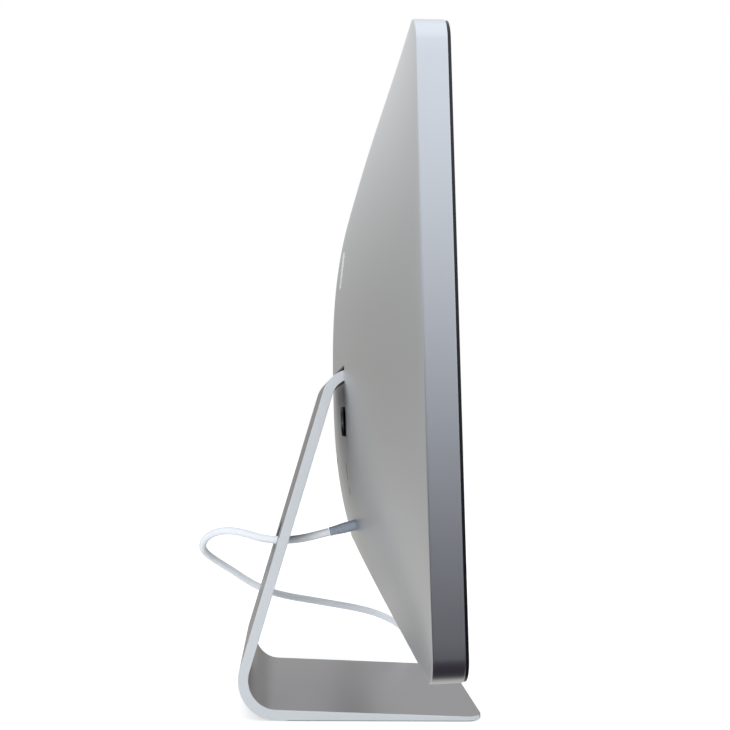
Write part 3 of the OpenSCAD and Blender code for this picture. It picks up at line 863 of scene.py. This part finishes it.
def stand_stations():
    """(outer point, inner point, half width) along the bent plate, from toe to tongue."""
    stations = []
    half = STAND_W / 2
    foot_length = HEEL_MID.x - TOE_Y

    def foot(d, pinch=0.0):
        thick = TOE_T + (PLATE_T - TOE_T) * d / foot_length
        gone = TOE_CORNER - min(d, TOE_CORNER)
        width = half - TOE_CORNER + math.sqrt(max(TOE_CORNER ** 2 - gone ** 2, 0.0))
        y = TOE_Y + d
        return (Vector((y, PAD_T + pinch)), Vector((y, PAD_T + thick - pinch)), width)

    stations.append(foot(0, 0.0009))
    stations.append(foot(0.00025, 0.0004))
    toe = 0.0004
    for i in range(1, 15):
        stations.append(foot(toe + (TOE_CORNER - toe) * (1 - math.cos(math.pi / 2 * i / 14))))
    stations += [foot(d) for d in (0.03, 0.08, 0.13, foot_length - 0.002)]
    for i in range(25):
        a = -math.pi / 2 + (math.pi / 2 + LEG_LEAN) * i / 24
        out = Vector((math.cos(a), math.sin(a)))
        stations.append((HEEL_MID + HEEL_R * out, HEEL_MID + (HEEL_R - PLATE_T) * out, half))
    leg_end = NECK_MID + NECK_R * LEAN_OUT
    for share in (0.01, 0.2, 0.7, 0.99):
        outer = LEG_FOOT.lerp(leg_end, share)
        stations.append((outer, outer - PLATE_T * LEAN_OUT, half))
    for i in range(19):
        a = LEG_LEAN + (math.pi / 2 - LEG_LEAN) * i / 18
        out = Vector((math.cos(a), math.sin(a)))
        stations.append((NECK_MID + NECK_R * out, NECK_MID + (NECK_R - PLATE_T) * out, half))
    return stations


def stand_mesh():
    """The bent plate, with its four long edges softened."""
    edge = 0.0005
    rings = []
    for outer, inner, half in stand_stations():
        across = inner - outer
        thick = across.length
        into = across.normalized()
        bevel = min(edge, thick * 0.3)
        ring = []
        for side, base, sense in ((1, outer, 1), (1, inner, -1), (-1, inner, -1), (-1, outer, 1)):
            arc = []
            for i in range(4):
                a = math.pi / 2 * i / 3
                x = half - bevel * (1 - math.sin(a))
                depth = bevel * (1 - math.cos(a))
                point = base + into * depth * sense
                arc.append((side * x, point.x, point.y))
            forward = (side == 1) == (sense == 1)
            ring += arc if forward else arc[::-1]
        rings.append(ring)
    return loft("bent_stand", rings, True, 30)


def bent_stand():
    """The plate with its cable hole, whose two rims are softened."""
    piece = new_object("bent_stand", stand_mesh())
    hole_y = LEG_FOOT.x - (HOLE_Z - LEG_FOOT.y) * math.tan(LEG_LEAN)
    rear = PLATE_T / 2
    soft = 0.0006
    past = 0.004
    half_profile = [
        (HOLE_R, rear - soft), (HOLE_R + soft * 0.35, rear - soft * 0.35), (HOLE_R + soft, rear),
        (HOLE_R + soft + past, rear + past), (0, rear + past),
    ]
    profile = [(r, -z) for r, z in reversed(half_profile)] + half_profile
    middle = Vector((hole_y, HOLE_Z)) - LEAN_OUT * rear
    place = Matrix.Translation((0, middle.x, middle.y)) @ turn_x(LEG_LEAN - math.pi / 2)
    cut(piece, [placed(turned("drill", profile, 96, 20), place)])
    sharpen(piece.data, 40)
    settle_shading(piece)
    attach(piece, "stand")
    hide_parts("stand_plate")
    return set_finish(piece, "satin_aluminium")


def foot_pad():
    """The thin rubber pad under the foot, with a softened lower edge."""
    inset = 0.0015
    low_corner = (-STAND_W / 2 + inset, TOE_Y + inset, 0.0)
    high_corner = (STAND_W / 2 - inset, HEEL_MID.x, PAD_T)
    mesh = soft_block("rubber_foot", low_corner, high_corner, 0.012, 0.0002, "z", 10)
    piece = new_object("rubber_foot", mesh, "stand")
    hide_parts("foot_pad")
    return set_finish(piece, "rubber_pad")


rear_shell()
cover_glass()
badge()
button()
stand = bent_stand()
foot_pad()


# ---- Materials ---------------------------------------------------------------------------


def surface(
    name, colour, rough, metal=0.0, grain=900, bump=0.02, tint=0.06, swing=0.06,
    stretch=(1, 1, 1), coat=0.0,
):
    """A finish whose colour, roughness and relief vary with fine and broad noise.

    tint and swing are how far the colour and the roughness vary.
    """
    material = bpy.data.materials.new(name)
    material.use_nodes = True
    nodes, links = material.node_tree.nodes, material.node_tree.links
    shader = nodes["Principled BSDF"]
    shader.inputs["Metallic"].default_value = metal
    shader.inputs["Coat Weight"].default_value = coat
    shader.inputs["Coat Roughness"].default_value = 0.08
    where = nodes.new("ShaderNodeTexCoord")
    scaled = nodes.new("ShaderNodeMapping")
    scaled.inputs["Scale"].default_value = stretch
    links.new(where.outputs["Object"], scaled.inputs["Vector"])
    fine = nodes.new("ShaderNodeTexNoise")
    fine.inputs["Scale"].default_value = grain
    fine.inputs["Detail"].default_value = 3
    broad = nodes.new("ShaderNodeTexNoise")
    broad.inputs["Scale"].default_value = max(grain / 90, 6)
    broad.inputs["Detail"].default_value = 4
    for noise in (fine, broad):
        links.new(scaled.outputs["Vector"], noise.inputs["Vector"])
    both = nodes.new("ShaderNodeMath")
    both.operation = "MULTIPLY_ADD"
    both.inputs[1].default_value = 0.5
    links.new(fine.outputs["Fac"], both.inputs[0])
    half = nodes.new("ShaderNodeMath")
    half.operation = "MULTIPLY"
    half.inputs[1].default_value = 0.5
    links.new(broad.outputs["Fac"], half.inputs[0])
    links.new(half.outputs["Value"], both.inputs[2])
    mix = nodes.new("ShaderNodeMix")
    mix.data_type = "RGBA"
    darker = [c * (1 - tint) for c in colour]
    lighter = [min(c * (1 + tint), 1) for c in colour]
    mix.inputs["A"].default_value = (*darker, 1)
    mix.inputs["B"].default_value = (*lighter, 1)
    links.new(both.outputs["Value"], mix.inputs["Factor"])
    links.new(mix.outputs["Result"], shader.inputs["Base Color"])
    gloss = nodes.new("ShaderNodeMapRange")
    gloss.inputs["To Min"].default_value = max(rough - swing, 0.02)
    gloss.inputs["To Max"].default_value = min(rough + swing, 1)
    links.new(both.outputs["Value"], gloss.inputs["Value"])
    links.new(gloss.outputs["Result"], shader.inputs["Roughness"])
    relief = nodes.new("ShaderNodeBump")
    relief.inputs["Strength"].default_value = bump
    relief.inputs["Distance"].default_value = 0.0005
    links.new(fine.outputs["Fac"], relief.inputs["Height"])
    links.new(relief.outputs["Normal"], shader.inputs["Normal"])
    return material


# On the glass, in the case's own frame
SCREEN_HALF = (0.2985, 0.1685)
LENS_Z = 0.380
LENS_RING = (0.0016, 0.0027)


def glass_surface():
    """Black glass: a slightly lighter screen area inside the border, and the camera's ring."""
    material = surface("black_glass", (0.004, 0.004, 0.005), 0.05, 0, 300, 0.0, 0.1, 0.01)
    nodes, links = material.node_tree.nodes, material.node_tree.links
    shader = nodes["Principled BSDF"]
    shader.inputs["IOR"].default_value = 1.5
    where = nodes.new("ShaderNodeTexCoord")
    flat = nodes.new("ShaderNodeMapping")
    flat.vector_type = "TEXTURE"
    flat.inputs["Location"].default_value = CASE_AT
    flat.inputs["Rotation"].default_value = (-REST_TILT, 0, 0)
    links.new(where.outputs["Object"], flat.inputs["Vector"])
    parts = nodes.new("ShaderNodeSeparateXYZ")
    links.new(flat.outputs["Vector"], parts.inputs["Vector"])

    def value(operation, *sources):
        node = nodes.new("ShaderNodeMath")
        node.operation = operation
        for i, source in enumerate(sources):
            if isinstance(source, float):
                node.inputs[i].default_value = source
            else:
                links.new(source, node.inputs[i])
        return node.outputs["Value"]

    up = value("SUBTRACT", parts.outputs["Z"], CASE_H / 2)
    inside_x = value("LESS_THAN", value("ABSOLUTE", parts.outputs["X"]), SCREEN_HALF[0])
    inside_z = value("LESS_THAN", value("ABSOLUTE", up), SCREEN_HALF[1])
    screen = value("MULTIPLY", inside_x, inside_z)
    from_lens = value("SUBTRACT", parts.outputs["Z"], LENS_Z)
    square = value(
        "ADD", value("MULTIPLY", parts.outputs["X"], parts.outputs["X"]),
        value("MULTIPLY", from_lens, from_lens),
    )
    reach = value("SQRT", square)
    past_inner = value("GREATER_THAN", reach, LENS_RING[0])
    ring = value("MULTIPLY", past_inner, value("LESS_THAN", reach, LENS_RING[1]))
    colour = shader.inputs["Base Color"].links[0].from_socket
    for area, tone in ((screen, (0.010, 0.011, 0.014)), (ring, (0.03, 0.03, 0.035))):
        layer = nodes.new("ShaderNodeMix")
        layer.data_type = "RGBA"
        layer.inputs["B"].default_value = (*tone, 1)
        links.new(area, layer.inputs["Factor"])
        links.new(colour, layer.inputs["A"])
        colour = layer.outputs["Result"]
    links.new(colour, shader.inputs["Base Color"])
    return material


CASE_METAL = surface("case_aluminium", (0.74, 0.755, 0.78), 0.34, 1.0, 2600, 0.03, 0.02, 0.03)
# Painted shade and light on the stand: its broad faces get a darker colour than the case's metal, and
# its edges a paler, less metallic one.
STAND_METAL_PAINTED_SHADE = surface("stand_aluminium_painted_shade", (0.40, 0.393, 0.412), 0.30, 1.0, 2600, 0.03, 0.02, 0.03)
EDGE_METAL_PAINTED_LIGHT = surface("stand_edge_painted_light", (0.66, 0.685, 0.70), 0.55, 0.35, 2600, 0.05, 0.03, 0.03)
SLOT_FINISH = {
    "satin_aluminium": CASE_METAL,
    "rubber_pad": surface("rubber", (0.030, 0.030, 0.032), 0.75, 0, 1800, 0.12),
    "hinge_metal": surface("hinge_paint", (0.16, 0.16, 0.165), 0.42, 0.3, 1500, 0.06),
    "steel": surface(
        "zinc_steel", (0.56, 0.57, 0.58), 0.36, 1.0, 700, 0.05, 0.08, 0.10, (1, 1, 0.12),
    ),
    "brass_washer": surface("brass", (0.76, 0.58, 0.28), 0.30, 1.0, 1600, 0.05, 0.08, 0.08),
    "screw_steel": surface("screw_steel", (0.42, 0.42, 0.43), 0.30, 1.0, 2200, 0.05, 0.10, 0.08),
    "black_glass": glass_surface(),
    "black_foam": surface("foam", (0.018, 0.018, 0.018), 0.95, 0, 2500, 0.4, 0.2, 0.03),
    "panel_dark": surface("panel", (0.015, 0.016, 0.020), 0.25, 0, 600, 0.02),
    "clear_acrylic": surface("acrylic", (0.82, 0.85, 0.86), 0.12, 0, 400, 0.01, 0.03, 0.04),
    "circuit_board": surface(
        "board", (0.012, 0.085, 0.045), 0.38, 0, 420, 0.10, 0.35, 0.12, coat=0.3,
    ),
    "copper_parts": surface("copper", (0.74, 0.37, 0.22), 0.28, 1.0, 1200, 0.05, 0.10, 0.10),
    "black_plastic": surface("black_plastic", (0.016, 0.016, 0.017), 0.48, 0, 2400, 0.10),
    "painted_grey": surface("grey_paint", (0.20, 0.21, 0.22), 0.42, 0.1, 1800, 0.06),
    "port_metal": surface("port_steel", (0.34, 0.34, 0.35), 0.34, 1.0, 1800, 0.05, 0.10, 0.08),
    "polished_disc": surface("polished", (0.86, 0.87, 0.88), 0.14, 0.35, 900, 0.01, 0.02, 0.03),
    "grey_plastic": surface("grey_sleeve", (0.285, 0.322, 0.38), 0.42, 0, 2200, 0.06, 0.05),
    "white_cord": surface("white_vinyl", (0.72, 0.745, 0.77), 0.38, 0, 1500, 0.05, 0.02),
    "white_plug": surface("white_moulding", (0.76, 0.775, 0.79), 0.30, 0, 1900, 0.04, 0.02),
    "black_tie": surface("hook_and_loop", (0.022, 0.022, 0.024), 0.90, 0, 3000, 0.8, 0.4, 0.05),
    "brass_pins": surface("plated_brass", (0.72, 0.63, 0.42), 0.26, 1.0, 900, 0.05, 0.05, 0.08),
}


def paint(piece, material):
    """Gives the whole piece one material."""
    piece.data.materials.clear()
    piece.data.materials.append(material)
    for polygon in piece.data.polygons:
        polygon.material_index = 0


def paint_stand():
    """Painted shade and light: the plate's broad faces get the darker colour as painted shade, and its
    side and toe edges the paler, rougher, less metallic one as painted light.
    """
    paint(stand, STAND_METAL_PAINTED_SHADE)
    stand.data.materials.append(EDGE_METAL_PAINTED_LIGHT)
    for polygon in stand.data.polygons:
        at_side = abs(polygon.normal.x) > 0.6 and abs(polygon.center.x) > STAND_W / 2 - TOE_CORNER
        at_toe = polygon.normal.y < -0.6 and polygon.center.y < TOE_Y + 0.001
        polygon.material_index = 1 if at_side or at_toe else 0


def finish_everything():
    """Every CAD node and every piece gets its slot's finish, and three get their own; the stand's is
    painted shade on its broad faces and painted light on its edges.
    """
    for part in frame["record"]["subparts"]:
        node = frame["nodes"][part["node"]]
        paint(node, SLOT_FINISH[part["material_slot"]])
    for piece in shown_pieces():
        if "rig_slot" in piece:
            paint(piece, SLOT_FINISH[piece["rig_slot"]])
    paint_stand()
    paint(frame["nodes"]["video_port"], SLOT_FINISH["black_plastic"])
    paint(frame["nodes"]["vent_grilles"], SLOT_FINISH["painted_grey"])


finish_everything()


# ---- Floor, light and background ----------------------------------------------------------


def floor():
    """A plain pale floor that gloss doesn't mirror."""
    reach = 6.0
    points = [(-reach, -reach, 0), (reach, -reach, 0), (reach, reach, 0), (-reach, reach, 0)]
    mesh = bpy.data.meshes.new("floor")
    mesh.from_pydata(points, [], [(0, 1, 2, 3)])
    plane = new_object("floor", mesh)
    material = bpy.data.materials.new("floor")
    material.use_nodes = True
    shader = material.node_tree.nodes["Principled BSDF"]
    shader.inputs["Base Color"].default_value = (0.80, 0.80, 0.80, 1)
    shader.inputs["Roughness"].default_value = 0.9
    shader.inputs["Specular IOR Level"].default_value = 0.0
    shader.inputs["Emission Color"].default_value = (1, 1, 1, 1)
    shader.inputs["Emission Strength"].default_value = 0.50
    paint(plane, material)
    plane.visible_glossy = False


def soft_light(name, place, aim, size, watts):
    """A soft box that gloss doesn't mirror."""
    data = bpy.data.lights.new(name, "AREA")
    data.shape = "RECTANGLE"
    data.size, data.size_y = size
    data.energy = watts
    light = bpy.data.objects.new(name, data)
    light.location = place
    ahead = Vector(aim) - Vector(place)
    light.rotation_euler = ahead.to_track_quat("-Z", "Y").to_euler()
    light.visible_glossy = False
    bpy.context.scene.collection.objects.link(light)


# What glossy surfaces mirror, by direction
DARK_DESK = (0.03, 0.025, 0.034)
PALE_DESK = (0.64, 0.63, 0.60)
GREY_WALL = (0.40, 0.395, 0.375)
WHITE_CEILING = (0.92, 0.93, 0.93)
BRIGHT_WINDOW = (1.06, 1.11, 1.18)
# What lights matt surfaces
EVEN_LIGHT = (0.66, 0.70, 0.74)


def background():
    """White to the camera, even white to matt surfaces, and a studio to glossy ones."""
    world = bpy.data.worlds.new("studio")
    bpy.context.scene.world = world
    world.use_nodes = True
    nodes, links = world.node_tree.nodes, world.node_tree.links
    nodes.clear()
    where = nodes.new("ShaderNodeTexCoord")
    parts = nodes.new("ShaderNodeSeparateXYZ")
    links.new(where.outputs["Generated"], parts.inputs["Vector"])

    def ranged(source, start, end):
        node = nodes.new("ShaderNodeMapRange")
        node.interpolation_type = "SMOOTHSTEP"
        node.inputs["From Min"].default_value = start
        node.inputs["From Max"].default_value = end
        links.new(source, node.inputs["Value"])
        return node.outputs["Result"]

    side = ranged(parts.outputs["X"], 0.0, 0.6)
    above = ranged(parts.outputs["Z"], -0.33, 0.56)

    def mixed(factor, a, b):
        node = nodes.new("ShaderNodeMix")
        node.data_type = "RGBA"
        links.new(factor, node.inputs["Factor"])
        for key, source in (("A", a), ("B", b)):
            if isinstance(source, tuple):
                node.inputs[key].default_value = (*source, 1)
            else:
                links.new(source, node.inputs[key])
        return node.outputs["Result"]

    below = mixed(side, DARK_DESK, PALE_DESK)
    behind = mixed(above, below, BRIGHT_WINDOW)
    level = ranged(parts.outputs["Z"], -0.34, 0.0)
    rising = ranged(parts.outputs["Z"], 0.05, 0.62)
    far_side = mixed(rising, mixed(level, PALE_DESK, GREY_WALL), WHITE_CEILING)
    studio = mixed(side, behind, far_side)
    ray = nodes.new("ShaderNodeLightPath")
    matt = mixed(ray.outputs["Is Diffuse Ray"], studio, EVEN_LIGHT)
    seen = mixed(ray.outputs["Is Camera Ray"], matt, (1, 1, 1))
    shader = nodes.new("ShaderNodeBackground")
    links.new(seen, shader.inputs["Color"])
    out = nodes.new("ShaderNodeOutputWorld")
    links.new(shader.outputs["Background"], out.inputs["Surface"])


floor()
background()
soft_light("overhead", (0.1, 0.1, 2.2), (0.05, 0.0, 0.25), (2.6, 2.0), 12)
soft_light("side", (-2.4, 0.5, 0.9), (0, 0.05, 0.2), (1.6, 1.2), 27)
bpy.context.scene.view_settings.view_transform = "Standard"
